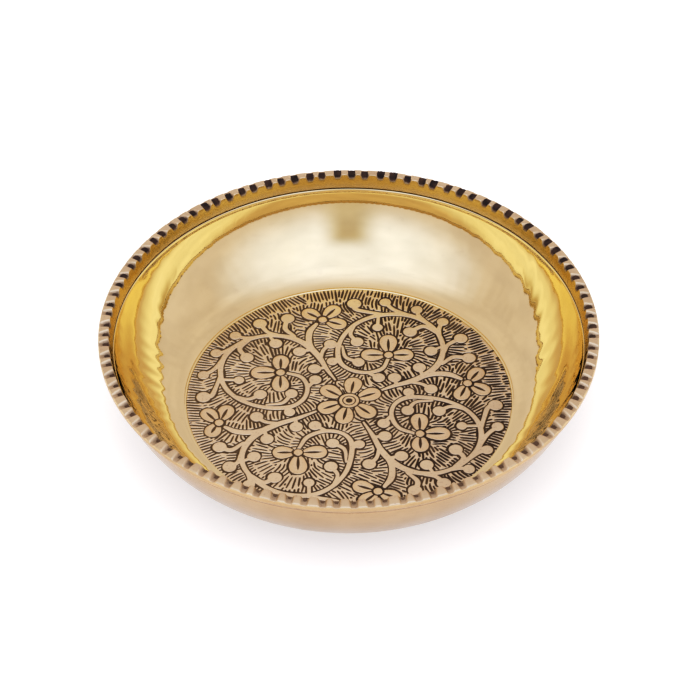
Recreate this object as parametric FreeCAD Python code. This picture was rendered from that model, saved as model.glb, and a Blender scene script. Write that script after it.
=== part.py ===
import FreeCAD, Part

import math
import os

from FreeCAD import Vector

os.makedirs("parts", exist_ok=True)

# A shallow brass serving bowl. It stands on a flat base, its inside is a mirror, its floor is a
# chased disc of flowers and scrolling vines, and a thick rim is notched all round.
# Millimetres, +Z up. The origin is the middle of the base. Every outline is drawn in the X-Z
# plane, as (radius, height), and turned about Z.

# Driving dimensions
RIM_RADIUS = 75.0  # outer edge of the rim
HEIGHT = 31.0  # base to the top of the rim
WALL = 2.2  # thickness of the cast wall
LAND_WIDTH = 3.2  # flat top of the rim
RIM_DEPTH = 4.4  # from the top of the rim down to the joint line inside
SEAM_RADIUS = 70.65  # inside radius at the joint line
FLOOR_HEIGHT = 1.9  # top of the wall's foot, where it meets the floor disc

# The wall is two arcs that flow into each other. A slope is measured up from the horizontal.
SEAM_SLOPE = 75.0
UPPER_ARC = 42.7
KNEE_SLOPE = 42.0
LOWER_ARC = 18.0

# Rim
RIM_FACE = 0.7  # upright outer face of the rim, under its rounded edge
RIM_ROUND = 0.3
NOTCHES = 101
NOTCH_RADIUS = 1.5
NOTCH_DEPTH_OUTSIDE = 0.55
NOTCH_DEPTH_INSIDE = 1.35
NOTCH_WANDER = 0.28  # degrees that a hand-filed notch strays from its even place
PATINA_DEPTH = 0.22  # blackening left in the bottom of a notch

# Tongue of the shell in the groove of the rim
TONGUE_INSIDE = 71.2
TONGUE_WIDTH = 0.7
TONGUE_HEIGHT = 1.2
BRAZE_GAP = 0.1

# Floor disc
PLATE_EDGE = 0.45  # how far the disc's edge goes under the lip of the shell
PLATE_BOTTOM = 0.95
GROUND_HEIGHT = 1.35  # sunk ground between the chased motifs
LAND_HEIGHT = 1.65  # tops of the motifs
BORDER_WIDTH = 0.5  # plain ring at the disc's edge
LAC_HEIGHT = 1.5  # black filling in the ground
SMALLEST_FILL = 0.1  # cubic mm: the black doesn't stay in a smaller corner
SOLDER = 0.15
SOLDER_INSET = 1.0

# Chased design
DESIGN_CENTRE = Vector(0.0, -1.1, 0.0)
CENTRE_PETALS = [80.0, 22.0, -43.0, -102.0, -155.0, 145.0]  # their directions, degrees
CENTRE_RING = 3.0
CENTRE_EYE = 1.1

# One quarter of the design, from the middle of the disc. A stroke is a list of x, y and half
# width, and it runs from its root to its tip.
VINE = [
    (9.3, 4.2, 0.35), (14.0, 6.5, 0.8), (19.0, 8.4, 1.1), (23.5, 11.2, 1.25), (27.3, 15.4, 1.2),
    (29.2, 20.5, 1.0), (29.2, 26.5, 0.9), (26.6, 33.0, 0.9), (21.0, 37.9, 1.0), (14.5, 39.4, 1.0),
    (7.6, 38.2, 0.9), (2.0, 34.6, 0.85), (-1.7, 29.2, 0.8), (-3.4, 23.0, 0.9), (-2.6, 17.0, 0.9),
    (1.0, 13.5, 0.8), (6.0, 12.5, 0.8), (10.4, 14.3, 0.8), (12.2, 18.6, 0.6),
]
STALK = [(21.0, 9.7, 0.9), (26.0, 11.6, 1.1), (31.0, 11.4, 1.15), (34.6, 9.4, 0.7)]
LEAVES = [
    [(11.0, 39.3, 0.7), (6.0, 40.5, 0.8), (2.2, 41.9, 0.9), (1.8, 44.5, 2.2)],
    [(18.5, 39.2, 0.7), (14.2, 41.6, 0.8), (11.7, 45.0, 1.8)],
    [(25.4, 34.6, 0.7), (22.4, 38.4, 0.8), (21.7, 41.4, 1.8)],
    [(28.6, 29.0, 0.7), (28.5, 32.4, 0.8), (29.7, 35.6, 1.8)],
    [(29.8, 21.5, 0.6), (31.2, 25.0, 0.8), (35.2, 27.8, 2.1)],
    [(29.0, 16.2, 0.6), (32.6, 19.2, 0.9), (37.4, 18.8, 2.1)],
    [(27.6, 30.6, 0.7), (23.6, 33.6, 0.9), (19.3, 31.0, 2.1)],
    [(28.9, 24.0, 0.5), (25.7, 22.1, 2.0)],
    [(22.8, 10.6, 0.6), (21.9, 14.6, 2.0)],
    [(9.4, 38.0, 0.6), (9.1, 33.2, 1.6)],
    [(1.8, 34.0, 0.5), (0.6, 30.0, 0.7), (2.6, 26.5, 2.0)],
    [(-2.0, 24.5, 0.4), (-1.0, 19.6, 0.7), (3.0, 17.2, 1.9)],
    [(-3.0, 19.6, 0.5), (-5.2, 17.6, 1.7)],
    [(5.4, 12.6, 0.6), (9.2, 10.1, 1.9)],
    [(14.6, 6.9, 0.6), (14.1, 10.1, 2.0)],
    [(18.6, 8.0, 0.5), (22.4, 7.2, 0.7), (25.2, 4.9, 2.0)],
]
LEAF_NECK = 0.42  # half width of a leaf's stem at its round head, as a share of the head's radius
SCROLL_FLOWER = (12.4, 20.4)
OUTER_FLOWER = (36.6, 7.4)
FLOWER_HEART = 1.3
# Petals: direction in degrees, distance of the middle, half length, half width
CENTRE_PETAL = (6.6, 3.7, 2.8)
SCROLL_PETALS = [(90.0, 5.1, 4.0, 2.8), (180.0, 4.8, 3.7, 2.7), (0.0, 4.4, 3.3, 2.7)]
OUTER_PETALS = [(-112.0, 4.5, 3.4, 2.6), (-34.0, 4.5, 3.4, 2.6), (56.0, 4.5, 3.4, 2.6)]
SLIT = 0.35  # half width of the cut along a petal

TURN_AXIS = Vector(0, 0, 1)
ORIGIN = Vector(0, 0, 0)


def point(radius, height):
    return Vector(radius, 0.0, height)


def on_arc(centre, radius, slope):
    """The point of an arc of the wall where the wall has this slope."""
    angle = math.radians(slope)
    return centre + Vector(radius * math.sin(angle), 0.0, -radius * math.cos(angle))


def slope_at(centre, radius, height):
    return math.degrees(math.acos((centre.z - height) / radius))


def line(start, end):
    return Part.LineSegment(start, end).toShape()


def wall_arc(centre, radius, slope_from, slope_to):
    middle = on_arc(centre, radius, (slope_from + slope_to) / 2)
    arc = Part.Arc(on_arc(centre, radius, slope_from), middle, on_arc(centre, radius, slope_to))
    return arc.toShape()


def turned(edges):
    """The solid that a closed outline sweeps round the bowl's axis."""
    return Part.Face(Part.Wire(edges)).revolve(ORIGIN, TURN_AXIS, 360)


def outline_through(points):
    """Straight edges through the points, closed back to the first."""
    return [line(a, b) for a, b in zip(points, points[1:] + points[:1])]


def export(shape, name):
    shape.exportStep("parts/" + name + ".step")


# The wall's two arcs, inside and outside, about the same centres
seam = point(SEAM_RADIUS, HEIGHT - RIM_DEPTH)
upper_centre = seam - on_arc(ORIGIN, UPPER_ARC, SEAM_SLOPE)
knee = on_arc(upper_centre, UPPER_ARC, KNEE_SLOPE)
lower_centre = knee - on_arc(ORIGIN, LOWER_ARC, KNEE_SLOPE)
foot_slope = slope_at(lower_centre, LOWER_ARC, FLOOR_HEIGHT)
base_slope = slope_at(lower_centre, LOWER_ARC + WALL, 0.0)
outside_seam_slope = slope_at(upper_centre, UPPER_ARC + WALL, seam.z)
foot = on_arc(lower_centre, LOWER_ARC, foot_slope)
base_edge = on_arc(lower_centre, LOWER_ARC + WALL, base_slope)
outside_seam = on_arc(upper_centre, UPPER_ARC + WALL, outside_seam_slope)
PLATE_RADIUS = foot.x + PLATE_EDGE
TONGUE_OUTSIDE = TONGUE_INSIDE + TONGUE_WIDTH


def make_shell():
    """Base and wall in one, with a seat for the floor disc and a tongue for the rim."""
    tongue_top = seam.z + TONGUE_HEIGHT
    seat = [
        foot,
        point(foot.x, LAND_HEIGHT),
        point(PLATE_RADIUS, LAND_HEIGHT),
        point(PLATE_RADIUS, PLATE_BOTTOM - SOLDER),
        point(0.0, PLATE_BOTTOM - SOLDER),
        point(0.0, 0.0),
        base_edge,
    ]
    tongue = [
        outside_seam,
        point(TONGUE_OUTSIDE, seam.z),
        point(TONGUE_OUTSIDE, tongue_top),
        point(TONGUE_INSIDE, tongue_top),
        point(TONGUE_INSIDE, seam.z),
        seam,
    ]
    edges = [line(a, b) for a, b in zip(seat, seat[1:])]
    edges.append(wall_arc(lower_centre, LOWER_ARC + WALL, base_slope, KNEE_SLOPE))
    edges.append(wall_arc(upper_centre, UPPER_ARC + WALL, KNEE_SLOPE, outside_seam_slope))
    edges += [line(a, b) for a, b in zip(tongue, tongue[1:])]
    edges.append(wall_arc(upper_centre, UPPER_ARC, SEAM_SLOPE, KNEE_SLOPE))
    edges.append(wall_arc(lower_centre, LOWER_ARC, KNEE_SLOPE, foot_slope))
    return turned(edges)


def make_plain_rim():
    """The rim before it is notched: a heavy ring that swells out over the wall."""
    groove_top = seam.z + TONGUE_HEIGHT + BRAZE_GAP
    land_inside = RIM_RADIUS - LAND_WIDTH
    face_bottom = HEIGHT - RIM_ROUND - RIM_FACE
    round_end = point(RIM_RADIUS, HEIGHT - RIM_ROUND)
    round_start = point(RIM_RADIUS - RIM_ROUND, HEIGHT)
    middle_reach = RIM_ROUND * math.sqrt(0.5)
    round_middle = point(
        RIM_RADIUS - RIM_ROUND + middle_reach, HEIGHT - RIM_ROUND + middle_reach
    )
    swell = Part.BezierCurve()
    swell.setPoles([
        point(RIM_RADIUS, face_bottom),
        point(RIM_RADIUS, face_bottom - 1.3),
        point(outside_seam.x + 0.25, seam.z + 1.6),
        outside_seam,
    ])
    bottom = [
        outside_seam,
        point(TONGUE_OUTSIDE + BRAZE_GAP, seam.z),
        point(TONGUE_OUTSIDE + BRAZE_GAP, groove_top),
        point(TONGUE_INSIDE - BRAZE_GAP, groove_top),
        point(TONGUE_INSIDE - BRAZE_GAP, seam.z),
        seam,
        point(land_inside, HEIGHT),
        round_start,
    ]
    edges = [line(a, b) for a, b in zip(bottom, bottom[1:])]
    edges.append(Part.Arc(round_start, round_middle, round_end).toShape())
    edges.append(line(round_end, point(RIM_RADIUS, face_bottom)))
    edges.append(swell.toShape())
    return turned(edges)


def notch_cutter(lift=0.0):
    """A round file laid across the rim, lower on its inner side."""
    reach = 1.5
    inside = point(
        RIM_RADIUS - LAND_WIDTH, HEIGHT - NOTCH_DEPTH_INSIDE + NOTCH_RADIUS + lift
    )
    outside = point(RIM_RADIUS, HEIGHT - NOTCH_DEPTH_OUTSIDE + NOTCH_RADIUS + lift)
    along = (outside - inside).normalize()
    length = (outside - inside).Length + 2 * reach
    return Part.makeCylinder(NOTCH_RADIUS, length, inside - along * reach, along)


def notch_angles():
    pitch = 360.0 / NOTCHES
    return [k * pitch + NOTCH_WANDER * math.sin(2.4 * k) for k in range(NOTCHES)]


def round_the_rim(shape):
    """Copies of a shape, one at each notch."""
    copies = []
    for angle in notch_angles():
        copy = shape.copy()
        copy.rotate(ORIGIN, TURN_AXIS, angle)
        copies.append(copy)
    return copies


def make_notch_patina(plain_rim):
    """The black left in one notch: the bottom of the file's cut, as far as the rim's faces."""
    cut = plain_rim.common(notch_cutter())
    return cut.cut(notch_cutter(lift=PATINA_DEPTH))


def make_braze():
    """Thin sleeve of filler metal between the tongue and its groove."""
    tongue_top = seam.z + TONGUE_HEIGHT
    return turned(outline_through([
        point(TONGUE_INSIDE - BRAZE_GAP, seam.z),
        point(TONGUE_INSIDE - BRAZE_GAP, tongue_top + BRAZE_GAP),
        point(TONGUE_OUTSIDE + BRAZE_GAP, tongue_top + BRAZE_GAP),
        point(TONGUE_OUTSIDE + BRAZE_GAP, seam.z),
        point(TONGUE_OUTSIDE, seam.z),
        point(TONGUE_OUTSIDE, tongue_top),
        point(TONGUE_INSIDE, tongue_top),
        point(TONGUE_INSIDE, seam.z),
    ]))


def raised(wire):
    """A motif that stands from inside the disc up to the height of the lands."""
    face = Part.Face(wire)
    face.translate(Vector(0, 0, GROUND_HEIGHT - 0.1))
    return face.extrude(Vector(0, 0, LAND_HEIGHT - GROUND_HEIGHT + 0.1))


def side_points(stroke):
    """The left and right edges of a stroke, square to its middle line at each point."""
    left = []
    right = []
    last = len(stroke) - 1
    for i, (x, y, half) in enumerate(stroke):
        ax, ay, _ = stroke[max(i - 1, 0)]
        bx, by, _ = stroke[min(i + 1, last)]
        along = Vector(bx - ax, by - ay, 0).normalize()
        across = Vector(-along.y, along.x, 0) * half
        left.append(Vector(x, y, 0) + across)
        right.append(Vector(x, y, 0) - across)
    return left, right


def ribbon(stroke):
    """A tapering stroke with smooth sides and a square root and tip."""
    left, right = side_points(stroke)
    sides = []
    for points in (left, right[::-1]):
        side = Part.BSplineCurve()
        side.interpolate(points)
        sides.append(side.toShape())
    edges = [sides[0], line(left[-1], right[-1]), sides[1], line(right[0], left[0])]
    return Part.Wire(edges)


def disc(x, y, radius):
    return Part.Wire(Part.makeCircle(radius, Vector(x, y, 0)))


def petal(x, y, direction, distance, half_length, half_width):
    angle = math.radians(direction)
    middle = Vector(x + distance * math.cos(angle), y + distance * math.sin(angle), 0)
    ellipse = Part.Ellipse(Vector(0, 0, 0), half_length, half_width).toShape()
    wire = Part.Wire(ellipse)
    wire.rotate(ORIGIN, TURN_AXIS, direction)
    wire.translate(middle)
    return wire


def slit(x, y, direction, distance, half_length):
    """The cut along a petal, as a cutter that goes down to the ground."""
    start = distance - 0.75 * half_length
    box = Part.makeBox(half_length, 2 * SLIT, 1.0, Vector(start, -SLIT, GROUND_HEIGHT))
    box.rotate(ORIGIN, TURN_AXIS, direction)
    box.translate(Vector(x, y, 0))
    return box


def quarter_motifs():
    shapes = [ribbon(VINE), ribbon(STALK)]
    for leaf in LEAVES:
        x, y, radius = leaf[-1]
        shapes.append(disc(x, y, radius))
        shapes.append(ribbon(leaf[:-1] + [(x, y, LEAF_NECK * radius)]))
    for flower, petals in ((SCROLL_FLOWER, SCROLL_PETALS), (OUTER_FLOWER, OUTER_PETALS)):
        shapes.append(disc(*flower, FLOWER_HEART))
        shapes += [petal(*flower, *shape) for shape in petals]
    return [raised(wire) for wire in shapes]


def quarter_slits():
    cutters = []
    for flower, petals in ((SCROLL_FLOWER, SCROLL_PETALS), (OUTER_FLOWER, OUTER_PETALS)):
        cutters += [slit(*flower, turn, far, half) for turn, far, half, _ in petals]
    return cutters


def all_quarters(shapes):
    """The shapes of one quarter, repeated four times about the middle of the design."""
    copies = []
    for quarter in range(4):
        for shape in shapes:
            copy = shape.copy()
            copy.rotate(ORIGIN, TURN_AXIS, 90 * quarter)
            copy.translate(DESIGN_CENTRE)
            copies.append(copy)
    return copies


def centre_motifs():
    distance, half_length, half_width = CENTRE_PETAL
    wires = [disc(0, 0, CENTRE_RING)]
    wires += [petal(0, 0, turn, distance, half_length, half_width) for turn in CENTRE_PETALS]
    shapes = [raised(wire) for wire in wires]
    cutters = [slit(0, 0, turn, distance, half_length) for turn in CENTRE_PETALS]
    cutters.append(Part.makeCylinder(CENTRE_EYE, 1.0, Vector(0, 0, GROUND_HEIGHT)))
    for shape in shapes + cutters:
        shape.translate(DESIGN_CENTRE)
    return shapes, cutters


def make_floor():
    """The chased disc and the black filling round its motifs."""
    plate = Part.makeCylinder(
        PLATE_RADIUS, GROUND_HEIGHT - PLATE_BOTTOM, Vector(0, 0, PLATE_BOTTOM)
    )
    inside_border = PLATE_RADIUS - PLATE_EDGE - BORDER_WIDTH
    border = Part.makeCylinder(
        PLATE_RADIUS, LAND_HEIGHT - GROUND_HEIGHT + 0.1, Vector(0, 0, GROUND_HEIGHT - 0.1)
    )
    well = Part.makeCylinder(inside_border, 1.0, Vector(0, 0, GROUND_HEIGHT - 0.1))
    motifs, cutters = centre_motifs()
    motifs += all_quarters(quarter_motifs())
    cutters += all_quarters(quarter_slits())
    lands = motifs[0].multiFuse(motifs[1:] + [border.cut(well)])
    lands = lands.cut(Part.makeCompound(cutters))
    ground = Part.makeCylinder(
        inside_border, LAC_HEIGHT - GROUND_HEIGHT, Vector(0, 0, GROUND_HEIGHT)
    )
    fills = [solid for solid in ground.cut(lands).Solids if solid.Volume > SMALLEST_FILL]
    return plate.fuse(lands).removeSplitter(), Part.makeCompound(fills)


def make_solder():
    """The film of solder that holds the disc down in its seat."""
    return Part.makeCylinder(
        PLATE_RADIUS - SOLDER_INSET, SOLDER, Vector(0, 0, PLATE_BOTTOM - SOLDER)
    )


plain_rim = make_plain_rim()
notch_patina = make_notch_patina(plain_rim)
floor_plate, floor_lac = make_floor()

export(make_shell(), "bowl_shell")
export(plain_rim.cut(Part.makeCompound(round_the_rim(notch_cutter()))), "rim_band")
export(Part.makeCompound(round_the_rim(notch_patina)), "notch_patina")
export(make_braze(), "rim_braze")
export(floor_plate, "floor_plate")
export(floor_lac, "floor_lac")
export(make_solder(), "floor_solder")
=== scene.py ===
import math

import bpy
import numpy as np
from mathutils import Matrix, Vector


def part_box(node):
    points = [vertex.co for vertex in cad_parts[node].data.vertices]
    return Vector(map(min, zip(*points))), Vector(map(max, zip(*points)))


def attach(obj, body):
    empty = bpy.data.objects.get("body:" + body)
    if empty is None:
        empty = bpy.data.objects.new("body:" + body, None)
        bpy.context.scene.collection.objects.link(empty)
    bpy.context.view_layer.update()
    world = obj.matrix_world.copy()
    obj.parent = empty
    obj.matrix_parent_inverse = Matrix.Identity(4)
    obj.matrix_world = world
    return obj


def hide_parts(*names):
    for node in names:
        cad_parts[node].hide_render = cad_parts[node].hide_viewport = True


# A chased brass serving bowl. Lengths in this script are millimetres, and build_mesh turns them
# into metres. Z is up and the bowl stands on z = 0 with its middle at the origin.

MM = 0.001

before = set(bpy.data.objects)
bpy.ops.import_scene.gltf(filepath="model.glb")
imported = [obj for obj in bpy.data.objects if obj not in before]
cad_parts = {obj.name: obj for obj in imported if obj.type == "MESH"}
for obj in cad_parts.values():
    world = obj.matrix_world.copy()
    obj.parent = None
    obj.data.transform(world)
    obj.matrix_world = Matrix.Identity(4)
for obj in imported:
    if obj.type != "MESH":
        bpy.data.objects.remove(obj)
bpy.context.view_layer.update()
rng = np.random.default_rng(7)


def node_box(name):
    """Lowest and highest corner of a CAD node, in millimetres."""
    low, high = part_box(name)
    return low / MM, high / MM


# Sizes that come from the frame
RIM_LOW, RIM_HIGH = node_box("rim_band")
PLATE_LOW, PLATE_HIGH = node_box("floor_plate")
RIM_RADIUS = RIM_HIGH.x
HEIGHT = RIM_HIGH.z
SEAM_HEIGHT = RIM_LOW.z
PLATE_RADIUS = PLATE_HIGH.x
PLATE_BOTTOM = PLATE_LOW.z
LAND_HEIGHT = PLATE_HIGH.z

# Wall: two arcs inside and two outside, about the same centres. Slopes are from the horizontal.
WALL = 2.2
SEAM_RADIUS = 70.65
SEAM_SLOPE = 75.0
UPPER_ARC = 42.7
KNEE_SLOPE = 42.0
LOWER_ARC = 18.0
FOOT_HEIGHT = 1.9
SEAT_HEIGHT = 0.8
WALL_COLUMNS = 864

# Rim
LAND_WIDTH = 3.2
RIM_FACE = 0.7
RIM_ROUND = 0.45
LAND_LOW = 0.2  # the hand-filed land is crowned: lower at its outer edge
LAND_RISE = 0.55
NOTCHES = 101
NOTCH_COLUMNS = 26
NOTCH_DEPTH_OUTSIDE = 0.3
NOTCH_DEPTH_INSIDE = 1.3
NOTCH_FLAT = 0.6  # half the width of its flat bottom
NOTCH_SIDES = 1.7  # steepness of a notch's sides
NOTCH_BOTTOM = 0.4  # roundness where they meet
NOTCH_WEAR = 0.5  # how far the lands between the notches are rubbed round
NOTCH_WANDER = 0.28

# Chasing on the floor disc
DISC_CELLS = 620
CELL = 0.1
RASTER_HALF = 51.6
GROUND_DEPTH = 0.3
LAC_DEPTH = 0.15
OUTLINE = 0.62
HATCH_PITCH = 1.14
HATCH_BLOCK = 0.84  # no other stroke's middle line comes this near
HATCH_CLEAR = 0.32
HATCH_HALF = 0.35
HATCH_SWING = 0.09  # how much a stroke's direction can differ from the one beside it
HATCH_STEP = 0.2
HATCH_SEED_STEP = 3  # raster cells between the places where a row can start
HATCH_SHORTEST = 0.8
HATCH_LENGTH = (3.4, 5.2)
BORDER_RADIUS = 50.0

# The design, in quarters about its own middle. A stroke is a list of x, y and half width.
DESIGN_CENTRE = (0.0, -1.1)
CENTRE_PETALS = [80.0, 22.0, -43.0, -102.0, -155.0, 145.0]
CENTRE_RING = 3.0
CENTRE_EYE = 1.1
EYE_RING = 1.95
VINE = [
    (9.3, 4.2, 0.35), (14.0, 6.5, 0.8), (19.0, 8.4, 1.1), (23.5, 11.2, 1.25), (27.3, 15.4, 1.2),
    (29.2, 20.5, 1.0), (29.2, 26.5, 0.9), (26.6, 33.0, 0.9), (21.0, 37.9, 1.0), (14.5, 39.4, 1.0),
    (7.6, 38.2, 0.9), (2.0, 34.6, 0.85), (-1.7, 29.2, 0.8), (-3.4, 23.0, 0.9), (-2.6, 17.0, 0.9),
    (1.0, 13.5, 0.8), (6.0, 12.5, 0.8), (10.4, 14.3, 0.8), (12.2, 18.6, 0.6),
]
STALK = [(21.0, 9.7, 0.9), (26.0, 11.6, 1.1), (31.0, 11.4, 1.15), (34.6, 9.4, 0.7)]
LEAVES = [
    [(11.0, 39.3, 0.7), (6.0, 40.5, 0.8), (2.2, 41.9, 0.9), (1.8, 44.5, 2.2)],
    [(18.5, 39.2, 0.7), (14.2, 41.6, 0.8), (11.7, 45.0, 1.8)],
    [(25.4, 34.6, 0.7), (22.4, 38.4, 0.8), (21.7, 41.4, 1.8)],
    [(28.6, 29.0, 0.7), (28.5, 32.4, 0.8), (29.7, 35.6, 1.8)],
    [(29.8, 21.5, 0.6), (31.2, 25.0, 0.8), (35.2, 27.8, 2.1)],
    [(29.0, 16.2, 0.6), (32.6, 19.2, 0.9), (37.4, 18.8, 2.1)],
    [(27.6, 30.6, 0.7), (23.6, 33.6, 0.9), (19.3, 31.0, 2.1)],
    [(28.9, 24.0, 0.5), (25.7, 22.1, 2.0)],
    [(22.8, 10.6, 0.6), (21.9, 14.6, 2.0)],
    [(9.4, 38.0, 0.6), (9.1, 33.2, 1.6)],
    [(1.8, 34.0, 0.5), (0.6, 30.0, 0.7), (2.6, 26.5, 2.0)],
    [(-2.0, 24.5, 0.4), (-1.0, 19.6, 0.7), (3.0, 17.2, 1.9)],
    [(-3.0, 19.6, 0.5), (-5.2, 17.6, 1.7)],
    [(5.4, 12.6, 0.6), (9.2, 10.1, 1.9)],
    [(14.6, 6.9, 0.6), (14.1, 10.1, 2.0)],
    [(18.6, 8.0, 0.5), (22.4, 7.2, 0.7), (25.2, 4.9, 2.0)],
]
LEAF_NECK = 0.42  # width of a leaf's stem where it runs into its round head, as a share of that
VINE_THIN = 0.84  # what the outline cuts leave of the strokes' widths
SCROLL_FLOWER = (12.4, 20.4)
OUTER_FLOWER = (36.6, 7.4)
FLOWER_HEART = 1.3
# Petals: direction in degrees, distance of the middle, half length, half width
CENTRE_PETAL = (6.6, 3.7, 2.8)
SCROLL_PETALS = [(90.0, 5.1, 4.0, 2.8), (180.0, 4.8, 3.7, 2.7), (0.0, 4.4, 3.3, 2.7)]
OUTER_PETALS = [(-112.0, 4.5, 3.4, 2.6), (-34.0, 4.5, 3.4, 2.6), (56.0, 4.5, 3.4, 2.6)]
# The hand work isn't exact: how far each quarter's scroll strays, fading out to middle and border
QUARTER_DRIFT = [(0.0, 0.0), (0.3, 0.8), (3.0, 2.0), (2.3, 1.0)]
DRIFT_FROM, DRIFT_FULL = 8.0, 22.0
DRIFT_UNTIL, DRIFT_FADE = 47.0, 9.0


# Meshes

def build_mesh(name, points, quads, materials, caps=(), attributes=None):
    """A smooth mesh from points in millimetres, quads of point numbers, and wider end caps."""
    faces = [quads.ravel()] + [np.asarray(cap) for cap in caps]
    loops = np.concatenate(faces).astype(np.int32)
    sizes = np.concatenate([np.full(len(quads), 4), [len(cap) for cap in caps]]).astype(int)
    starts = np.concatenate([[0], np.cumsum(sizes)[:-1]]).astype(np.int32)
    mesh = bpy.data.meshes.new(name)
    mesh.vertices.add(len(points))
    mesh.vertices.foreach_set("co", (points * MM).astype(np.float32).ravel())
    mesh.loops.add(len(loops))
    mesh.loops.foreach_set("vertex_index", loops)
    mesh.polygons.add(len(sizes))
    mesh.polygons.foreach_set("loop_start", starts)
    mesh.polygons.foreach_set("use_smooth", np.ones(len(sizes), bool))
    mesh.update(calc_edges=True)
    for label, values in (attributes or {}).items():
        layer = mesh.attributes.new(label, "FLOAT", "POINT")
        layer.data.foreach_set("value", values.astype(np.float32))
    for material in materials:
        mesh.materials.append(material)
    piece = bpy.data.objects.new(name, mesh)
    bpy.context.scene.collection.objects.link(piece)
    return piece


def grid_quads(columns, rows, closed_columns=False, closed_rows=False):
    """Quads of a grid whose points run column by column."""
    across = columns if closed_columns else columns - 1
    up = rows if closed_rows else rows - 1
    c, r = np.meshgrid(np.arange(across), np.arange(up), indexing="ij")
    c, r = c.ravel(), r.ravel()
    next_c, next_r = (c + 1) % columns, (r + 1) % rows
    corners = [c * rows + r, next_c * rows + r, next_c * rows + next_r, c * rows + next_r]
    return np.stack(corners, axis=1)


def border_numbers(number):
    """The numbers round the edge of a grid of point numbers."""
    return np.concatenate([
        number[:-1, 0], number[-1, :-1], number[:0:-1, -1], number[0, :0:-1]
    ])


def arc_points(centre, radius, slope_from, slope_to, step=0.5):
    """Points along one of the wall's arcs, as radius and height."""
    length = abs(math.radians(slope_to - slope_from)) * radius
    slopes = np.radians(np.linspace(slope_from, slope_to, max(int(length / step), 2) + 1))
    return np.stack([centre[0] + radius * np.sin(slopes), centre[1] - radius * np.cos(slopes)], 1)


def at_slope(centre, radius, slope):
    return arc_points(centre, radius, slope, slope)[0]


def slope_at(centre, radius, height):
    return math.degrees(math.acos((centre[1] - height) / radius))


def rounded(corner, before, after, radius, steps=5):
    """A corner of an outline, rounded off by a curve that starts and ends this far from it."""
    start = corner + (before - corner) / np.linalg.norm(before - corner) * radius
    end = corner + (after - corner) / np.linalg.norm(after - corner) * radius
    t = np.linspace(0, 1, steps)[:, None]
    return (1 - t) ** 2 * start + 2 * t * (1 - t) * corner + t ** 2 * end


def straight(start, end, steps):
    return start + (end - start) * np.linspace(0, 1, steps + 1)[:, None]


# The wall's arcs, as in the CAD model
seam = np.array([SEAM_RADIUS, SEAM_HEIGHT])
upper_centre = seam - at_slope((0, 0), UPPER_ARC, SEAM_SLOPE)
knee = at_slope(upper_centre, UPPER_ARC, KNEE_SLOPE)
lower_centre = knee - at_slope((0, 0), LOWER_ARC, KNEE_SLOPE)
foot_slope = slope_at(lower_centre, LOWER_ARC, FOOT_HEIGHT)
foot = at_slope(lower_centre, LOWER_ARC, foot_slope)
base_slope = slope_at(lower_centre, LOWER_ARC + WALL, 0.0)
base_edge = at_slope(lower_centre, LOWER_ARC + WALL, base_slope)
outside_seam_slope = slope_at(upper_centre, UPPER_ARC + WALL, SEAM_HEIGHT)
outside_seam = at_slope(upper_centre, UPPER_ARC + WALL, outside_seam_slope)


# Bowl shell

LIP_GAP = 0.16  # half of the black line between the rim and the wall
LIP_REACH = 0.08  # how far the turned lip stands in from the wall
LIP_HEIGHT = 0.55
# The bead round the floor disc, as steps in and up from the foot of the wall
FOOT_BEAD = [(0.15, 0.05), (-0.1, 0.13), (-0.3, 0.16), (-0.5, 0.11), (-0.66, -0.04), (-0.72, -0.26)]


def inside_wall():
    """From the black line under the rim down to the lip round the floor disc."""
    top = seam + np.array([0.4, -LIP_GAP])
    lip_top = seam + np.array([-0.05, -LIP_GAP])
    below = at_slope(upper_centre, UPPER_ARC, SEAM_SLOPE - 1.5)
    lip = rounded(lip_top, top, below, 0.22, 6)
    upper = arc_points(upper_centre, UPPER_ARC, SEAM_SLOPE - 0.8, KNEE_SLOPE, 0.4)
    down = upper[0][1] - upper[:, 1]
    swell = np.exp(-((down - 0.15) / (0.5 * LIP_HEIGHT)) ** 2)
    upper[:, 0] -= LIP_REACH * swell
    lower = arc_points(lower_centre, LOWER_ARC, KNEE_SLOPE, foot_slope + 1.0, 0.3)[1:]
    bead = foot + np.array(FOOT_BEAD)
    return np.vstack([[top], lip, upper, lower, bead, [[bead[-1][0], SEAT_HEIGHT]]])


def outside_wall():
    """From the middle of the base, round its edge and up to the rim."""
    middle = np.array([0.4, 0.0])
    up = at_slope(lower_centre, LOWER_ARC + WALL, base_slope + 6)
    edge = rounded(base_edge, middle, up, 1.6, 9)
    base = straight(middle, edge[0], 60)[:-1]
    start = slope_at(lower_centre, LOWER_ARC + WALL, edge[-1][1] + 0.02)
    lower = arc_points(lower_centre, LOWER_ARC + WALL, start, KNEE_SLOPE)[1:]
    upper = arc_points(upper_centre, UPPER_ARC + WALL, KNEE_SLOPE, outside_seam_slope)[1:]
    return np.vstack([base, edge, lower, upper])


def hand_wander(angle, travel, size, ripple=0.0):
    """A shallow unevenness over a turned surface: slow waves, and ripples left by the hand."""
    total = np.zeros(np.broadcast(angle, travel).shape)
    for turns in range(2, 14):
        shift = rng.uniform(0, 2 * math.pi, 2)
        pace = rng.uniform(0.04, 0.16)
        wave = np.sin(turns * angle + shift[0]) * np.sin(pace * travel + shift[1])
        total += size * wave * rng.uniform(0.5, 1.0) / (turns ** 0.7)
    for turns in range(24, 104, 8):
        shift = rng.uniform(0, 2 * math.pi, 3)
        pace = rng.uniform(0.15, 0.4)
        patch = np.cos(angle) ** 2 * (0.55 + 0.45 * np.sin(5 * angle + 0.1 * travel + shift[2]))
        wave = np.sin(turns * angle + 1.2 * np.sin(5 * angle + shift[0]) + pace * travel)
        total += ripple * patch * wave * np.sin(0.2 * travel + shift[1])
    return total


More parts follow.
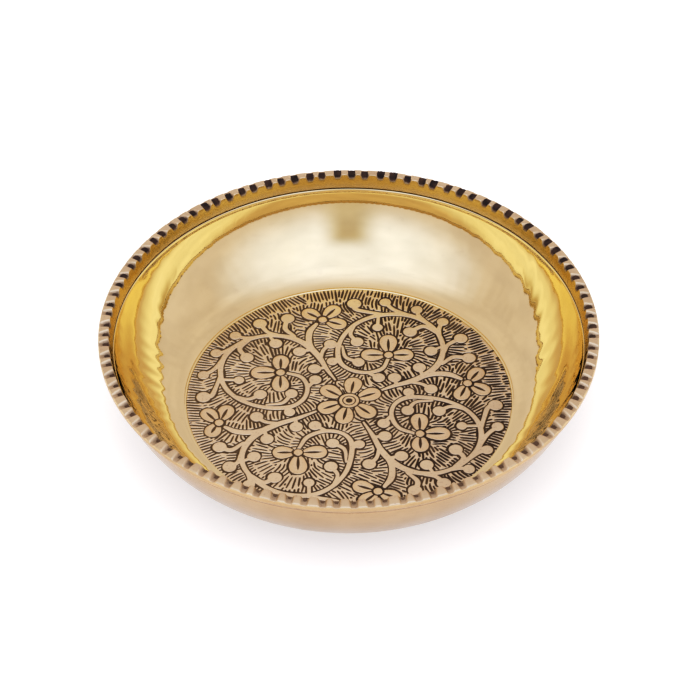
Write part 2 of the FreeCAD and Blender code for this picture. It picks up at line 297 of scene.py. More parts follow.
def turn(profile, columns, wander=0.0, ripple=0.0):
    """Points of an outline turned about Z, column by column, strayed along the outline's normal."""
    along = np.gradient(profile, axis=0)
    along /= np.linalg.norm(along, axis=1, keepdims=True)
    normal = np.stack([along[:, 1], -along[:, 0]], 1)
    travel = np.concatenate([[0], np.cumsum(np.linalg.norm(np.diff(profile, axis=0), axis=1))])
    angles = np.arange(columns) * 2 * math.pi / columns
    stray = hand_wander(angles[:, None], travel[None, :], wander, ripple)
    fade = np.clip(np.minimum(travel, travel[-1] - travel) / 4.0, 0, 1)
    fade *= np.clip((profile[:, 1] - 0.5) / 2.0, 0, 1)
    offset = (np.zeros((columns, len(profile))) + stray) * fade
    radius = profile[None, :, 0] + normal[None, :, 0] * offset
    height = profile[None, :, 1] + normal[None, :, 1] * offset
    c, s = np.cos(angles)[:, None], np.sin(angles)[:, None]
    return np.stack([radius * c, radius * s, height], axis=2)


def make_shell(polished, satin):
    outside = outside_wall()
    inside = inside_wall()
    hidden_top = straight(outside[-1], inside[0], 3)[1:-1]
    seat = straight(inside[-1], np.array([0.4, SEAT_HEIGHT]), 12)[1:]
    out_points = turn(outside, WALL_COLUMNS, 0.035)
    in_points = turn(inside, WALL_COLUMNS, 0.02, 0.012)
    parts = [out_points, turn(hidden_top, WALL_COLUMNS), in_points, turn(seat, WALL_COLUMNS)]
    points = np.concatenate(parts, axis=1)
    rows = points.shape[1]
    quads = grid_quads(WALL_COLUMNS, rows, closed_columns=True)
    first = np.arange(WALL_COLUMNS) * rows
    caps = [first[::-1], first + rows - 1]
    row = np.arange(rows)
    # The rows along the seam line are painted near-black: dark patina in the joint, and painted
    # shade of the crevice under the rim
    seam_black_and_shade = np.where((row >= len(outside)) & (row < len(outside) + len(hidden_top) + 3), 1.0, 0.0)
    shell = build_mesh(
        "shell", points.reshape(-1, 3), quads, [polished, satin], caps,
        {"seam_black_and_shade": np.tile(seam_black_and_shade, WALL_COLUMNS)},
    )
    face_row = np.concatenate([np.tile(np.arange(rows - 1), WALL_COLUMNS), [0, rows - 1]])
    shell.data.polygons.foreach_set(
        "material_index", (face_row < len(outside) - 1).astype(np.int32)
    )
    return shell


# Rim

class Notch:
    """One filed notch: a flat-bottomed groove across the rim, deeper at its inner end."""

    def __init__(self, number):
        pitch = 360.0 / NOTCHES
        wander = NOTCH_WANDER * math.sin(2.4 * number)
        self.angle = math.radians(number * pitch + wander)
        self.deeper = rng.uniform(0.86, 1.1)
        self.skew = rng.uniform(-0.12, 0.12)
        # More black at the back and the right
        self.dark = 0.5 + 0.5 * math.sin(self.angle) + 0.15 * math.cos(self.angle)

    def floor(self, radius, across):
        """Height of the groove at a distance from the axis and a distance from its own line."""
        share = (RIM_RADIUS - radius) / LAND_WIDTH
        depth = NOTCH_DEPTH_OUTSIDE + (NOTCH_DEPTH_INSIDE - NOTCH_DEPTH_OUTSIDE) * share
        side = across - self.skew * (radius - RIM_RADIUS + LAND_WIDTH / 2)
        side = np.maximum(np.abs(side) - NOTCH_FLAT, 0)
        rise = np.hypot(NOTCH_SIDES * side, NOTCH_BOTTOM) - NOTCH_BOTTOM
        return land_height(radius) - depth * self.deeper + rise


def land_height(radius):
    """The crowned top of the rim, before its edges are rounded."""
    share = np.clip((RIM_RADIUS - radius) / LAND_WIDTH, 0, 1)
    return HEIGHT - LAND_LOW + LAND_RISE * np.sin(0.5 * math.pi * share)


notches = [Notch(number) for number in range(NOTCHES)]


def lowest(first, second, blend=NOTCH_WEAR):
    """The lower of two heights, with the edge between them rubbed smooth."""
    share = np.clip(0.5 + 0.5 * (second - first) / blend, 0, 1)
    return second + (first - second) * share - blend * share * (1 - share)


def rim_inside_radius(height):
    """The rim's inner face leans out a little from the seam to the land."""
    share = (height - SEAM_HEIGHT) / (HEIGHT - SEAM_HEIGHT)
    return SEAM_RADIUS + (RIM_RADIUS - LAND_WIDTH - SEAM_RADIUS) * share


def rim_top(radius, angle):
    """Height of the notched top at each point, and how deep in a notch it is."""
    edge = RIM_RADIUS - RIM_ROUND
    round_off = RIM_ROUND - np.sqrt(
        np.maximum(RIM_ROUND ** 2 - np.maximum(radius - edge, 0) ** 2, 0)
    )
    inner = RIM_RADIUS - LAND_WIDTH + 0.3
    inner_off = 0.3 - np.sqrt(np.maximum(0.09 - np.maximum(inner - radius, 0) ** 2, 0))
    plain = land_height(radius) - round_off - inner_off
    groove = np.full(plain.shape, HEIGHT + 1.0)
    for notch in notches:
        off = np.angle(np.exp(1j * (angle - notch.angle)))
        near = np.abs(off) < 0.03
        here = notch.floor(radius[near], off[near] * radius[near])
        groove[near] = np.minimum(groove[near], here)
    return lowest(plain, groove), plain


def make_rim(material):
    columns = NOTCHES * NOTCH_COLUMNS
    angles = np.arange(columns) * 2 * math.pi / columns
    land = RIM_RADIUS - LAND_WIDTH + LAND_WIDTH * (
        0.5 - 0.5 * np.cos(np.linspace(0, math.pi, 21)) * 0.999
    )
    land_radius, land_angle = np.broadcast_arrays(land[None, :], angles[:, None])
    land_top, plain = rim_top(land_radius.copy(), land_angle.copy())
    # Inner face, from the black line up to the land
    face_share = np.linspace(0, 1, 14)[:-1]
    bottom = SEAM_HEIGHT + LIP_GAP
    inner_height = bottom + (land_top[:, :1] - bottom) * face_share[None, :]
    inner_radius = rim_inside_radius(inner_height)
    # Outer face and the swell under it, down to the wall
    face_bottom = HEIGHT - LAND_LOW - RIM_ROUND - RIM_FACE
    outer_share = np.linspace(0, 1, 6)[1:]
    outer_height = land_top[:, -1:] + (face_bottom - land_top[:, -1:]) * outer_share[None, :]
    outer_radius = np.full(outer_height.shape, RIM_RADIUS)
    t = np.linspace(0, 1, 17)[1:, None]
    poles = np.array([
        [RIM_RADIUS, face_bottom],
        [RIM_RADIUS, face_bottom - 1.3],
        [outside_seam[0] + 0.25, SEAM_HEIGHT + 1.6],
        outside_seam,
    ])
    swell = (
        (1 - t) ** 3 * poles[0] + 3 * t * (1 - t) ** 2 * poles[1]
        + 3 * t ** 2 * (1 - t) * poles[2] + t ** 3 * poles[3]
    )
    under = np.array([
        [SEAM_RADIUS + 1.2, SEAM_HEIGHT],
        [SEAM_RADIUS + 0.42, SEAM_HEIGHT + 0.05],
        [SEAM_RADIUS + 0.4, bottom],
    ])
    fixed = np.vstack([swell, under])
    ones = np.ones((columns, 1))
    radius = np.hstack([inner_radius, land_radius, outer_radius, ones * fixed[:, 0]])
    height = np.hstack([inner_height, land_top, outer_height, ones * fixed[:, 1]])
    depth = np.zeros(radius.shape)
    start = len(face_share)
    land_end = start + len(land)
    depth[:, start:land_end] = plain - land_top
    depth[:, :start] = (plain - land_top)[:, :1] * face_share[None, :] ** 6
    edge_depth = (plain - land_top)[:, -1:]
    depth[:, land_end:land_end + 5] = edge_depth * (1 - outer_share[None, :]) ** 2
    # Notches paler towards the front
    depth *= (0.8 + 0.2 * np.sin(angles))[:, None]
    # The rim's underside at the seam is painted near-black: dark patina in the joint, and painted
    # shade of the crevice
    seam_black_and_shade = np.zeros(radius.shape)
    seam_black_and_shade[:, -3:] = 1.0
    # Share of painted reflection on the inner face: the amber gold of the wall it mirrors, less of
    # it towards the seam
    inner = np.zeros(radius.shape)
    inner[:, :start] = np.clip(0.3 + 1.3 * face_share, 0, 1)
    inner[:, start] = 0.5
    c, s = np.cos(angles)[:, None], np.sin(angles)[:, None]
    points = np.stack([radius * c, radius * s, height], axis=2)
    rows = points.shape[1]
    quads = grid_quads(columns, rows, closed_columns=True, closed_rows=True)[:, ::-1]
    outer = np.zeros(radius.shape)
    outer[:, land_end:] = 1.0
    outer[:, land_end - 3:land_end] = [0.25, 0.5, 0.8]
    attributes = {
        "notch_depth": depth.ravel(), "seam_black_and_shade": seam_black_and_shade.ravel(),
        "inner": inner.ravel(), "outer": outer.ravel(),
    }
    return build_mesh("rim", points.reshape(-1, 3), quads, [material], (), attributes)


PATCH_ROWS = 15
PATCH_COLUMNS = 11


def patina_patch(notch):
    """The blackened crust in one notch: a thin skin with a worn, uneven border."""
    u, v = np.meshgrid(
        np.linspace(-1, 1, PATCH_ROWS), np.linspace(-1, 1, PATCH_COLUMNS), indexing="ij"
    )
    size = rng.uniform(0.8, 1.08)
    length = (0.76 + 0.84 * notch.dark) * size
    width = (0.84 + 0.58 * notch.dark) * size
    taper = 0.2 - 0.2 * notch.dark
    middle = RIM_RADIUS - LAND_WIDTH + 0.04 + length
    corner = 1 - 0.3 * (u * v) ** 2
    radius = middle + length * u * corner + rng.uniform(-0.07, 0.07, u.shape)
    across = width * v * corner * (1 - taper * (1 + u)) + rng.uniform(-0.08, 0.08, u.shape)
    across = across + notch.skew * (radius - RIM_RADIUS + LAND_WIDTH / 2)
    border = np.maximum(np.abs(u), np.abs(v))
    thickness = 0.10 - 0.16 * border ** 4 + rng.uniform(-0.02, 0.02, u.shape)
    top = lowest(land_height(radius), notch.floor(radius, across)) + thickness
    angle = notch.angle + across / radius
    sheets = []
    for height in (top, top - 0.3):
        sheets.append(np.stack([radius * np.cos(angle), radius * np.sin(angle), height], 2))
    return sheets


def closed_sheet_quads(columns, rows):
    """Top, bottom and edges of a thin slab: its top points come first, then its bottom ones."""
    top = grid_quads(columns, rows)
    count = columns * rows
    number = np.arange(count).reshape(columns, rows)
    border = border_numbers(number)
    following = np.roll(border, -1)
    sides = np.stack([border, border + count, following + count, following], axis=1)
    return np.concatenate([top, top[:, ::-1] + count, sides])


def make_notch_patina(material):
    one = closed_sheet_quads(PATCH_ROWS, PATCH_COLUMNS)
    points, quads = [], []
    for number, notch in enumerate(notches):
        sheets = patina_patch(notch)
        points += [sheet.reshape(-1, 3) for sheet in sheets]
        quads.append(one + number * 2 * PATCH_ROWS * PATCH_COLUMNS)
    return build_mesh(
        "notch_blackening", np.concatenate(points), np.concatenate(quads), [material]
    )


# Chasing. The cuts are worked out on a fine square raster and then carried to the disc's mesh.

axis = np.arange(-RASTER_HALF, RASTER_HALF + CELL / 2, CELL)
raster_x, raster_y = np.meshgrid(axis, axis)
raster_radius = np.hypot(raster_x, raster_y)


def smooth_line(stroke, step=0.25):
    """Evenly spaced samples of the smooth line through a stroke's points."""
    p = np.array(stroke, float)
    p = np.vstack([2 * p[0] - p[1], p, 2 * p[-1] - p[-2]])
    samples = []
    for a, b, c, d in zip(p, p[1:], p[2:], p[3:]):
        count = max(int(np.linalg.norm((c - b)[:2]) / step), 1)
        t = (np.arange(count) / count)[:, None]
        samples.append(0.5 * (
            2 * b + (c - a) * t + (2 * a - 5 * b + 4 * c - d) * t ** 2
            + (3 * b - a - 3 * c + d) * t ** 3
        ))
    samples.append(p[-2:-1])
    return np.vstack(samples)


def window(x_low, x_high, y_low, y_high):
    """The part of the raster that covers a box."""
    first = np.searchsorted(axis, [x_low, y_low])
    last = np.searchsorted(axis, [x_high, y_high])
    return slice(first[1], last[1] + 1), slice(first[0], last[0] + 1)


def edge_distance(samples, reach):
    """Distance outside a stroke's edge, over the part of the raster near it."""
    x, y, half = samples.T
    area = window(
        (x - half).min() - reach, (x + half).max() + reach,
        (y - half).min() - reach, (y + half).max() + reach,
    )
    gx, gy = raster_x[area], raster_y[area]
    distance = np.full(gx.shape, 99.0)
    for sx, sy, sh in samples:
        np.minimum(distance, np.hypot(gx - sx, gy - sy) - sh, out=distance)
    return area, distance


def near_distance(field, samples, reach):
    """Lowers a distance field to the distance from a long stroke's edge."""
    for sx, sy, sh in samples:
        area = window(sx - sh - reach, sx + sh + reach, sy - sh - reach, sy + sh + reach)
        part = field[area]
        np.minimum(part, np.hypot(raster_x[area] - sx, raster_y[area] - sy) - sh, out=part)


def placed(stroke, quarter):
    """A stroke of one quarter, drifted as that quarter's hand work is, and turned into place."""
    p = np.array(stroke, float)
    radius = np.hypot(p[:, 0], p[:, 1])
    weight = np.clip((radius - DRIFT_FROM) / (DRIFT_FULL - DRIFT_FROM), 0, 1)
    weight = weight * np.clip((DRIFT_UNTIL - radius) / DRIFT_FADE, 0, 1)
    p[:, :2] += np.array(QUARTER_DRIFT[quarter]) * weight[:, None]
    angle = math.radians(90 * quarter)
    c, s = math.cos(angle), math.sin(angle)
    x = c * p[:, 0] - s * p[:, 1] + DESIGN_CENTRE[0]
    y = s * p[:, 0] + c * p[:, 1] + DESIGN_CENTRE[1]
    return np.stack([x, y, p[:, 2]], axis=1)


def petal_stroke(flower, direction, distance, half_length, half_width):
    """An egg-shaped petal, narrow at the flower's heart."""
    angle = math.radians(direction)
    stops = [
        (distance - half_length + 0.9, 0.9),
        (distance - 0.35 * half_length, 0.72 * half_width),
        (distance + 0.15 * half_length, 0.95 * half_width),
        (distance + half_length - 0.92 * half_width, 0.92 * half_width),
    ]
    return [
        (flower[0] + r * math.cos(angle), flower[1] + r * math.sin(angle), w) for r, w in stops
    ]


def slit_stroke(flower, direction, distance, half_length):
    """The tapering cut along a petal."""
    angle = math.radians(direction)
    stops = [(-0.85, 0.15), (-0.4, 0.44), (0.0, 0.52), (0.3, 0.36), (0.55, 0.12)]
    return [
        (
            flower[0] + (distance + half_length * along) * math.cos(angle),
            flower[1] + (distance + half_length * along) * math.sin(angle),
            width,
        )
        for along, width in stops
    ]


def flower_motifs():
    """Petals and hearts of all flowers as placed strokes, with their slits."""
    petals, hearts, slits = [], [], []
    for quarter in range(4):
        for flower, shapes in ((SCROLL_FLOWER, SCROLL_PETALS), (OUTER_FLOWER, OUTER_PETALS)):
            for direction, *shape in shapes:
                petals.append(placed(petal_stroke(flower, direction, *shape), quarter))
                slits.append(placed(slit_stroke(flower, direction, *shape[:2]), quarter))
            hearts.append(placed([(*flower, FLOWER_HEART)], quarter))
    for direction in CENTRE_PETALS:
        petals.append(placed(petal_stroke((0, 0), direction, *CENTRE_PETAL), 0))
        slits.append(placed(slit_stroke((0, 0), direction, *CENTRE_PETAL[:2]), 0))
    return petals, hearts, slits


def vine_motifs():
    """The scrolls with their leaves, which run into each other without a cut between them."""
    strokes, heads = [], []
    for quarter in range(4):
        strokes += [smooth_line(placed(VINE, quarter)), smooth_line(placed(STALK, quarter))]
        for leaf in LEAVES:
            x, y, radius = leaf[-1]
            strokes.append(smooth_line(placed(leaf[:-1] + [(x, y, LEAF_NECK * radius)], quarter)))
            heads.append(placed([(x, y, radius)], quarter))
    for stroke in strokes:
        stroke[:, 2] *= VINE_THIN
    return strokes + heads


def groove(distance, width, depth):
    """Depth of a round-bottomed cut that starts at a motif's edge."""
    return depth * np.clip(1 - ((distance - width / 2) / (width / 2)) ** 2, 0, 1)


def cut_round(cut, area, distance, uneven):
    """Clears a motif's own top and cuts its outline, which is uneven in width."""
    part = cut[area]
    part[distance < 0.02] = 0.0
    np.maximum(part, groove(distance, OUTLINE * uneven[area], GROUND_DEPTH), out=part)


def carve(cut, samples, depth=GROUND_DEPTH):
    """Presses a chisel stroke into the land."""
    for sx, sy, half in samples:
        area = window(sx - half, sx + half, sy - half, sy + half)
        distance = np.hypot(raster_x[area] - sx, raster_y[area] - sy)
        mark = depth * np.clip(1.25 - 1.25 * (distance / max(half, 0.05)) ** 2, 0, 1)
        np.maximum(cut[area], mark, out=cut[area])


def look_up(field, x, y):
    """Values of a raster between its points."""
    u = np.clip((x + RASTER_HALF) / CELL, 0, len(axis) - 1.001)
    v = np.clip((y + RASTER_HALF) / CELL, 0, len(axis) - 1.001)
    i, j = u.astype(int), v.astype(int)
    fu, fv = u - i, v - j
    return (
        field[j, i] * (1 - fu) * (1 - fv) + field[j, i + 1] * fu * (1 - fv)
        + field[j + 1, i] * (1 - fu) * fv + field[j + 1, i + 1] * fu * fv
    )


def one_value(field, x, y):
    """Value of a raster's nearest point."""
    i = min(max(int((x + RASTER_HALF) / CELL + 0.5), 0), len(axis) - 1)
    j = min(max(int((y + RASTER_HALF) / CELL + 0.5), 0), len(axis) - 1)
    return field[j, i]


def blurred(field, reach):
    """A field smoothed over this distance."""
    pace = np.fft.fftfreq(len(axis), CELL) * 2 * math.pi
    fade = np.exp(-0.5 * (reach * pace) ** 2)
    wave = np.fft.fft2(field) * fade[:, None] * fade[None, :]
    return np.real(np.fft.ifft2(wave))


class Hatch:
    """Chisel strokes side by side in the ground, square to the vines and the border."""

    def __init__(self, field, guide):
        self.free = (field > HATCH_CLEAR) & (raster_radius < BORDER_RADIUS - 0.2)
        slope_y, slope_x = np.gradient(guide, CELL)
        weight = np.exp(-np.abs(guide) / 1.6)
        double_x = blurred((slope_x ** 2 - slope_y ** 2) * weight, 1.3)
        double_y = blurred(2 * slope_x * slope_y * weight, 1.3)
        self.lean = 0.5 * np.arctan2(double_y, double_x)
        self.taken = np.zeros(field.shape, bool)
        self.strokes = []

    def open_at(self, x, y):
        return one_value(self.free, x, y) and not one_value(self.taken, x, y)

    def walk(self, x, y, swing, sign, limit):
        """Points one way along the ground's grain, until something is in the way."""
        line = []
        angle = one_value(self.lean, x, y) + swing
        heading = (sign * math.cos(angle), sign * math.sin(angle))
        while len(line) * HATCH_STEP < limit:
            x, y = x + heading[0] * HATCH_STEP, y + heading[1] * HATCH_STEP
            if not self.open_at(x, y):
                break
            line.append((x, y))
            angle = one_value(self.lean, x, y) + swing
            along = math.cos(angle), math.sin(angle)
            if along[0] * heading[0] + along[1] * heading[1] < 0:
                along = -along[0], -along[1]
            heading = (0.5 * heading[0] + 0.5 * along[0], 0.5 * heading[1] + 0.5 * along[1])
        return line

    def take(self, line):
        for x, y in line[::2] + line[-1:]:
            area = window(x - HATCH_BLOCK, x + HATCH_BLOCK, y - HATCH_BLOCK, y + HATCH_BLOCK)
            near = np.hypot(raster_x[area] - x, raster_y[area] - y) < HATCH_BLOCK
            self.taken[area] |= near

    def fill(self, seeds):
        """Strokes from each free seed, each followed by the ones beside it."""
        for seed in seeds:
            fronts = [(*seed, rng.uniform(-0.25, 0.25))]
            while fronts:
                x, y, swing = fronts.pop(0)
                if not self.open_at(x, y):
                    continue
                longest = rng.uniform(*HATCH_LENGTH)
                back = self.walk(x, y, swing, -1, longest)
                rest = longest - len(back) * HATCH_STEP
                line = back[::-1] + [(x, y)] + self.walk(x, y, swing, 1, rest)
                if len(line) * HATCH_STEP < HATCH_SHORTEST:
                    continue
                self.take(line)
                self.strokes.append(line)
                angle = one_value(self.lean, x, y) + swing
                for side in (-HATCH_PITCH, HATCH_PITCH):
                    beside = (x - math.sin(angle) * side, y + math.cos(angle) * side)
                    fronts.append((*beside, 0.85 * swing + rng.normal(0, HATCH_SWING)))


def hatch_ground(cut, field, guide):
    """Cuts the hatching: rows along the border first, then the ground between the vines."""
    hatch = Hatch(field, guide)
    seeds = np.argwhere(hatch.free[::HATCH_SEED_STEP, ::HATCH_SEED_STEP]) * HATCH_SEED_STEP
    rng.shuffle(seeds)
    places = [(axis[i], axis[j]) for j, i in seeds]
    outer = [place for place in places if 1.6 < BORDER_RADIUS - math.hypot(*place) < 2.2]
    hatch.fill(outer + places)
    for line in hatch.strokes:
        # The chisel was struck harder on the right and at the back
        size = HATCH_HALF + 0.0021 * max(line[0][0], -8.0) + 0.0005 * line[0][1]
        size *= rng.uniform(0.85, 1.15)
        share = np.linspace(0, 1, len(line))
        if rng.random() < 0.5:
            share = share[::-1]
        half = size * np.clip(1.25 * np.sin(math.pi * (0.16 + 0.78 * share)) ** 0.7, 0.3, 1)
        carve(cut, np.column_stack([np.array(line), half]))


def chase():
    """Depth of every cut over the raster, and how much of each spot is flower."""
    petals, hearts, slits = flower_motifs()
    vines = vine_motifs()
    vine_field = np.full(raster_x.shape, 9.0)
    for samples in vines:
        near_distance(vine_field, samples, 3.2)
    border = np.maximum(BORDER_RADIUS + 0.25 - raster_radius, -1.0)
    guide = np.full(raster_x.shape, 9.0)
    for quarter in range(4):
        near_distance(guide, smooth_line(placed(VINE, quarter)), 6.0)
        near_distance(guide, smooth_line(placed(STALK, quarter)), 6.0)
    guide = np.minimum(guide, border)
    field = np.minimum(vine_field, border)
    flower_field = np.full(raster_x.shape, 9.0)
    flowers = [smooth_line(petal) for petal in petals]
    centre_heart = placed([(0, 0, CENTRE_RING)], 0)
    for samples in flowers + hearts + [centre_heart]:
        near_distance(flower_field, samples, 3.2)
    field = np.minimum(field, flower_field)
    cut = np.zeros(field.shape)
    hatch_ground(cut, field, guide)
    uneven = blurred(rng.normal(0, 1, field.shape), 0.9)
    uneven = 1 + 0.28 * np.clip(uneven / uneven.std(), -1.5, 1.5)
    whole = (slice(None), slice(None))
    cut_round(cut, whole, vine_field, uneven)
    for samples in flowers + hearts:
        cut_round(cut, *edge_distance(samples, OUTLINE + 0.3), uneven)
    for samples in slits:
        carve(cut, smooth_line(samples, 0.15), 0.26)
    cut_round(cut, *edge_distance(centre_heart, OUTLINE + 0.3), uneven)
    middle = np.hypot(raster_x - DESIGN_CENTRE[0], raster_y - DESIGN_CENTRE[1])
    np.maximum(cut, groove(np.abs(middle - EYE_RING) + 0.2, 0.42, 0.2), out=cut)
    np.maximum(cut, 0.3 * np.clip((CENTRE_EYE - middle) / 0.3, 0, 1), out=cut)
    edge_line = groove(np.abs(raster_radius - BORDER_RADIUS - 0.1) + 0.2, 0.5, 0.24)
    np.maximum(cut, edge_line, out=cut)
    cut[raster_radius > PLATE_RADIUS - 0.3] = 0.0
    gild = np.clip(0.25 - flower_field, 0, 0.5) * 2 * np.exp(-np.abs(flower_field + 0.3) / 0.9)
    gild = np.maximum(gild, np.clip((11.2 - middle) / 1.5, 0, 1) * (flower_field < 0.1) * 0.75)
    return cut, gild


def disc_points(cells, radius):
    """Points that fill a disc evenly: a square grid, each square ring bent to a circle."""
    line = np.linspace(-1, 1, cells + 1)
    a, b = np.meshgrid(line, line, indexing="ij")
    wide = np.abs(a) > np.abs(b)
    safe_a, safe_b = np.where(a == 0, 1, a), np.where(b == 0, 1, b)
    angle = np.where(wide, math.pi / 4 * b / safe_a, math.pi / 2 - math.pi / 4 * a / safe_b)
    reach = np.where(wide, a, b) * radius
    return reach * np.cos(angle), reach * np.sin(angle)


def make_floor_plate(cut, gild, material):
    x, y = disc_points(DISC_CELLS, PLATE_RADIUS)
    depth = look_up(cut, x, y)
    wander = hand_wander(np.arctan2(y, x), np.hypot(x, y), 0.03)
    top = LAND_HEIGHT - depth + np.minimum(wander, 0.0)
    side = DISC_CELLS + 1
    number = np.arange(side * side).reshape(side, side)
    border = border_numbers(number)
    points = np.stack([x.ravel(), y.ravel(), top.ravel()], axis=1)
    lower = points[border]
    lower[:, 2] = PLATE_BOTTOM
    ring = side * side + np.arange(len(border))
    quads = grid_quads(side, side)
    walls = np.stack([border, ring, np.roll(ring, -1), np.roll(border, -1)], axis=1)
    attributes = {
        "depth": np.concatenate([depth.ravel(), np.zeros(len(border))]),
        "gild": np.concatenate([look_up(gild, x, y).ravel(), np.zeros(len(border))]),
    }
    return build_mesh(
        "floor_disc", np.concatenate([points, lower]), np.concatenate([quads, walls]),
        [material], [ring[::-1]], attributes,
    )


LAC_CELLS = 420
LAC_THICKNESS = 0.1
LAC_HELD = 0.06  # depth of cut that holds lac


def make_lac(cut, material):
    """The black filling, only where the cuts are deep enough to hold it."""
    x, y = disc_points(LAC_CELLS, PLATE_RADIUS - 0.3)
    side = LAC_CELLS + 1
    deep = look_up(cut, x, y) > LAC_HELD
    kept = deep[:-1, :-1] | deep[1:, :-1] | deep[:-1, 1:] | deep[1:, 1:]
    height = LAND_HEIGHT - LAC_DEPTH + 0.03 * np.sin(1.9 * x + 2.3 * np.sin(1.1 * y))
    height += rng.uniform(-0.012, 0.012, height.shape)
    top = np.stack([x, y, height], axis=2).reshape(-1, 3)
    bottom = top - np.array([0, 0, LAC_THICKNESS])
    number = np.arange(side * side).reshape(side, side)
    corners = np.stack([
        number[:-1, :-1], number[1:, :-1], number[1:, 1:], number[:-1, 1:]
    ], axis=2)
    quads = [corners[kept], corners[kept][:, ::-1] + side * side]
    padded = np.pad(kept, 1)
    beside = [padded[1:-1, :-2], padded[2:, 1:-1], padded[1:-1, 2:], padded[:-2, 1:-1]]
    for edge, neighbour in enumerate(beside):
        open_edge = kept & ~neighbour
        a = corners[..., edge][open_edge]
        b = corners[..., (edge + 1) % 4][open_edge]
        quads.append(np.stack([a, a + side * side, b + side * side, b], axis=1))
    quads = np.concatenate(quads)
    used, compact = np.unique(quads, return_inverse=True)
    points = np.concatenate([top, bottom])[used]
    return build_mesh("floor_blackening", points, compact.reshape(quads.shape), [material])


# Materials

def put(tree, kind, inputs=None, **settings):
    """Adds a node. Inputs are values, or outputs of other nodes to link."""
    node = tree.nodes.new("ShaderNode" + kind)
    for name, value in settings.items():
        setattr(node, name, value)
    for name, value in (inputs or {}).items():
        socket = node.inputs[name]
        if isinstance(value, bpy.types.NodeSocket):
            tree.links.new(value, socket)
        else:
            socket.default_value = value
    return node


def new_material(name, metallic=1.0, specular=0.5):
    material = bpy.data.materials.new(name)
    material.use_nodes = True
    tree = material.node_tree
    shader = tree.nodes["Principled BSDF"]
    shader.inputs["Metallic"].default_value = metallic
    shader.inputs["Specular IOR Level"].default_value = specular
    return material, tree, shader


def noise(tree, scale, detail=3.0, roughness=0.5, coords=None):
    """Noise over the object's own space, unless other coordinates are given."""
    coords = coords or position(tree)
    inputs = {"Vector": coords, "Scale": scale, "Detail": detail, "Roughness": roughness}
    return put(tree, "TexNoise", inputs).outputs[0]


def between(tree, factor, low, high, from_low=0.0, from_high=1.0):
    """A number that follows another from one range to another."""
    inputs = {0: factor, 1: from_low, 2: from_high, 3: low, 4: high}
    return put(tree, "MapRange", inputs).outputs[0]


def mixed(tree, factor, first, second, how="MIX"):
    node = put(tree, "Mix", {0: factor}, data_type="RGBA", blend_type=how)
    for socket, value in ((node.inputs[6], first), (node.inputs[7], second)):
        if isinstance(value, bpy.types.NodeSocket):
            tree.links.new(value, socket)
        else:
            socket.default_value = (*value, 1.0)
    return node.outputs[2]


def flecked(tree, colour, field, share, start, full, other):
    """A colour with some of another one where a field runs from a start to a full value."""
    return mixed(tree, between(tree, field, 0.0, share, start, full), colour, other)


def clouded(tree, field, high, first, second):
    """One colour drifting into another with a field."""
    return mixed(tree, between(tree, field, 0.0, 1.0, 0.35, high), first, second)


def grey(tree, value):
    return put(tree, "CombineXYZ", {0: value, 1: value, 2: value}).outputs[0]


def attribute(tree, name):
    return put(tree, "Attribute", attribute_name=name).outputs["Fac"]


def arithmetic(tree, how, first, second):
    return put(tree, "Math", {0: first, 1: second}, operation=how).outputs[0]


def added(tree, first, second):
    return arithmetic(tree, "ADD", first, second)


def times(tree, first, second):
    return arithmetic(tree, "MULTIPLY", first, second)


def position(tree):
    return put(tree, "TexCoord").outputs["Object"]


def split(tree, vector):
    return put(tree, "SeparateXYZ", {0: vector}).outputs


def turned_position(tree, fine, coarse):
    """Coordinates that change quickly across a lathe's marks and slowly along them."""
    parts = split(tree, position(tree))
    flat = put(tree, "CombineXYZ", {0: parts[0], 1: parts[1]})
    length = put(tree, "VectorMath", {0: flat.outputs[0]}, operation="LENGTH")
    around = put(tree, "VectorMath", {0: flat.outputs[0]}, operation="NORMALIZE")
    round_parts = split(tree, around.outputs[0])
    radius = times(tree, length.outputs["Value"], fine)
    height = times(tree, parts[2], fine)
    x = arithmetic(tree, "MULTIPLY_ADD", round_parts[0], coarse)
    tree.links.new(radius, x.node.inputs[2])
    y = arithmetic(tree, "MULTIPLY_ADD", round_parts[1], coarse)
    tree.links.new(height, y.node.inputs[2])
    return put(tree, "CombineXYZ", {0: x, 1: y}).outputs[0]


def turned_noise(tree, fine, coarse, detail, roughness=0.5):
    return noise(tree, 1.0, detail, roughness, turned_position(tree, fine, coarse))


def finish(tree, shader, colour, rough, height, strength, distance):
    """Links a surface's colour, roughness and fine bumps."""
    inputs = {"Height": height, "Strength": strength, "Distance": distance}
    normal = put(tree, "Bump", inputs).outputs[0]
    for name, output in (("Base Color", colour), ("Roughness", rough), ("Normal", normal)):
        tree.links.new(output, shader.inputs[name])


def polished_brass():
    """Mirror-bright wall inside, with turning marks, faint smears and a black line at the seam: dark
    patina in the joint, partly painted shade of the crevice.
    """
    material, tree, shader = new_material("polished_brass")
    rings = turned_noise(tree, 2600.0, 1.5, 2.0)
    smears = noise(tree, 42.0, 4.0, 0.6)
    spots = noise(tree, 260.0, 2.0)
    colour = clouded(tree, smears, 0.7, (0.915, 0.765, 0.39), (0.895, 0.735, 0.36))
    colour = flecked(tree, colour, spots, 0.15, 0.68, 0.8, (0.62, 0.46, 0.27))
    # Seam line painted near-black: dark patina in the joint, and painted shade of the crevice
    seam_black_and_shade = attribute(tree, "seam_black_and_shade")
    colour = mixed(tree, seam_black_and_shade, colour, (0.035, 0.025, 0.02))
    rough = between(tree, smears, 0.02, 0.06, 0.3, 0.75)
    rough = added(tree, rough, between(tree, rings, 0.0, 0.02, 0.4, 0.8))
    rough = added(tree, rough, times(tree, seam_black_and_shade, 0.5))
    finish(tree, shader, colour, rough, rings, 0.05, 0.00002)
    return material


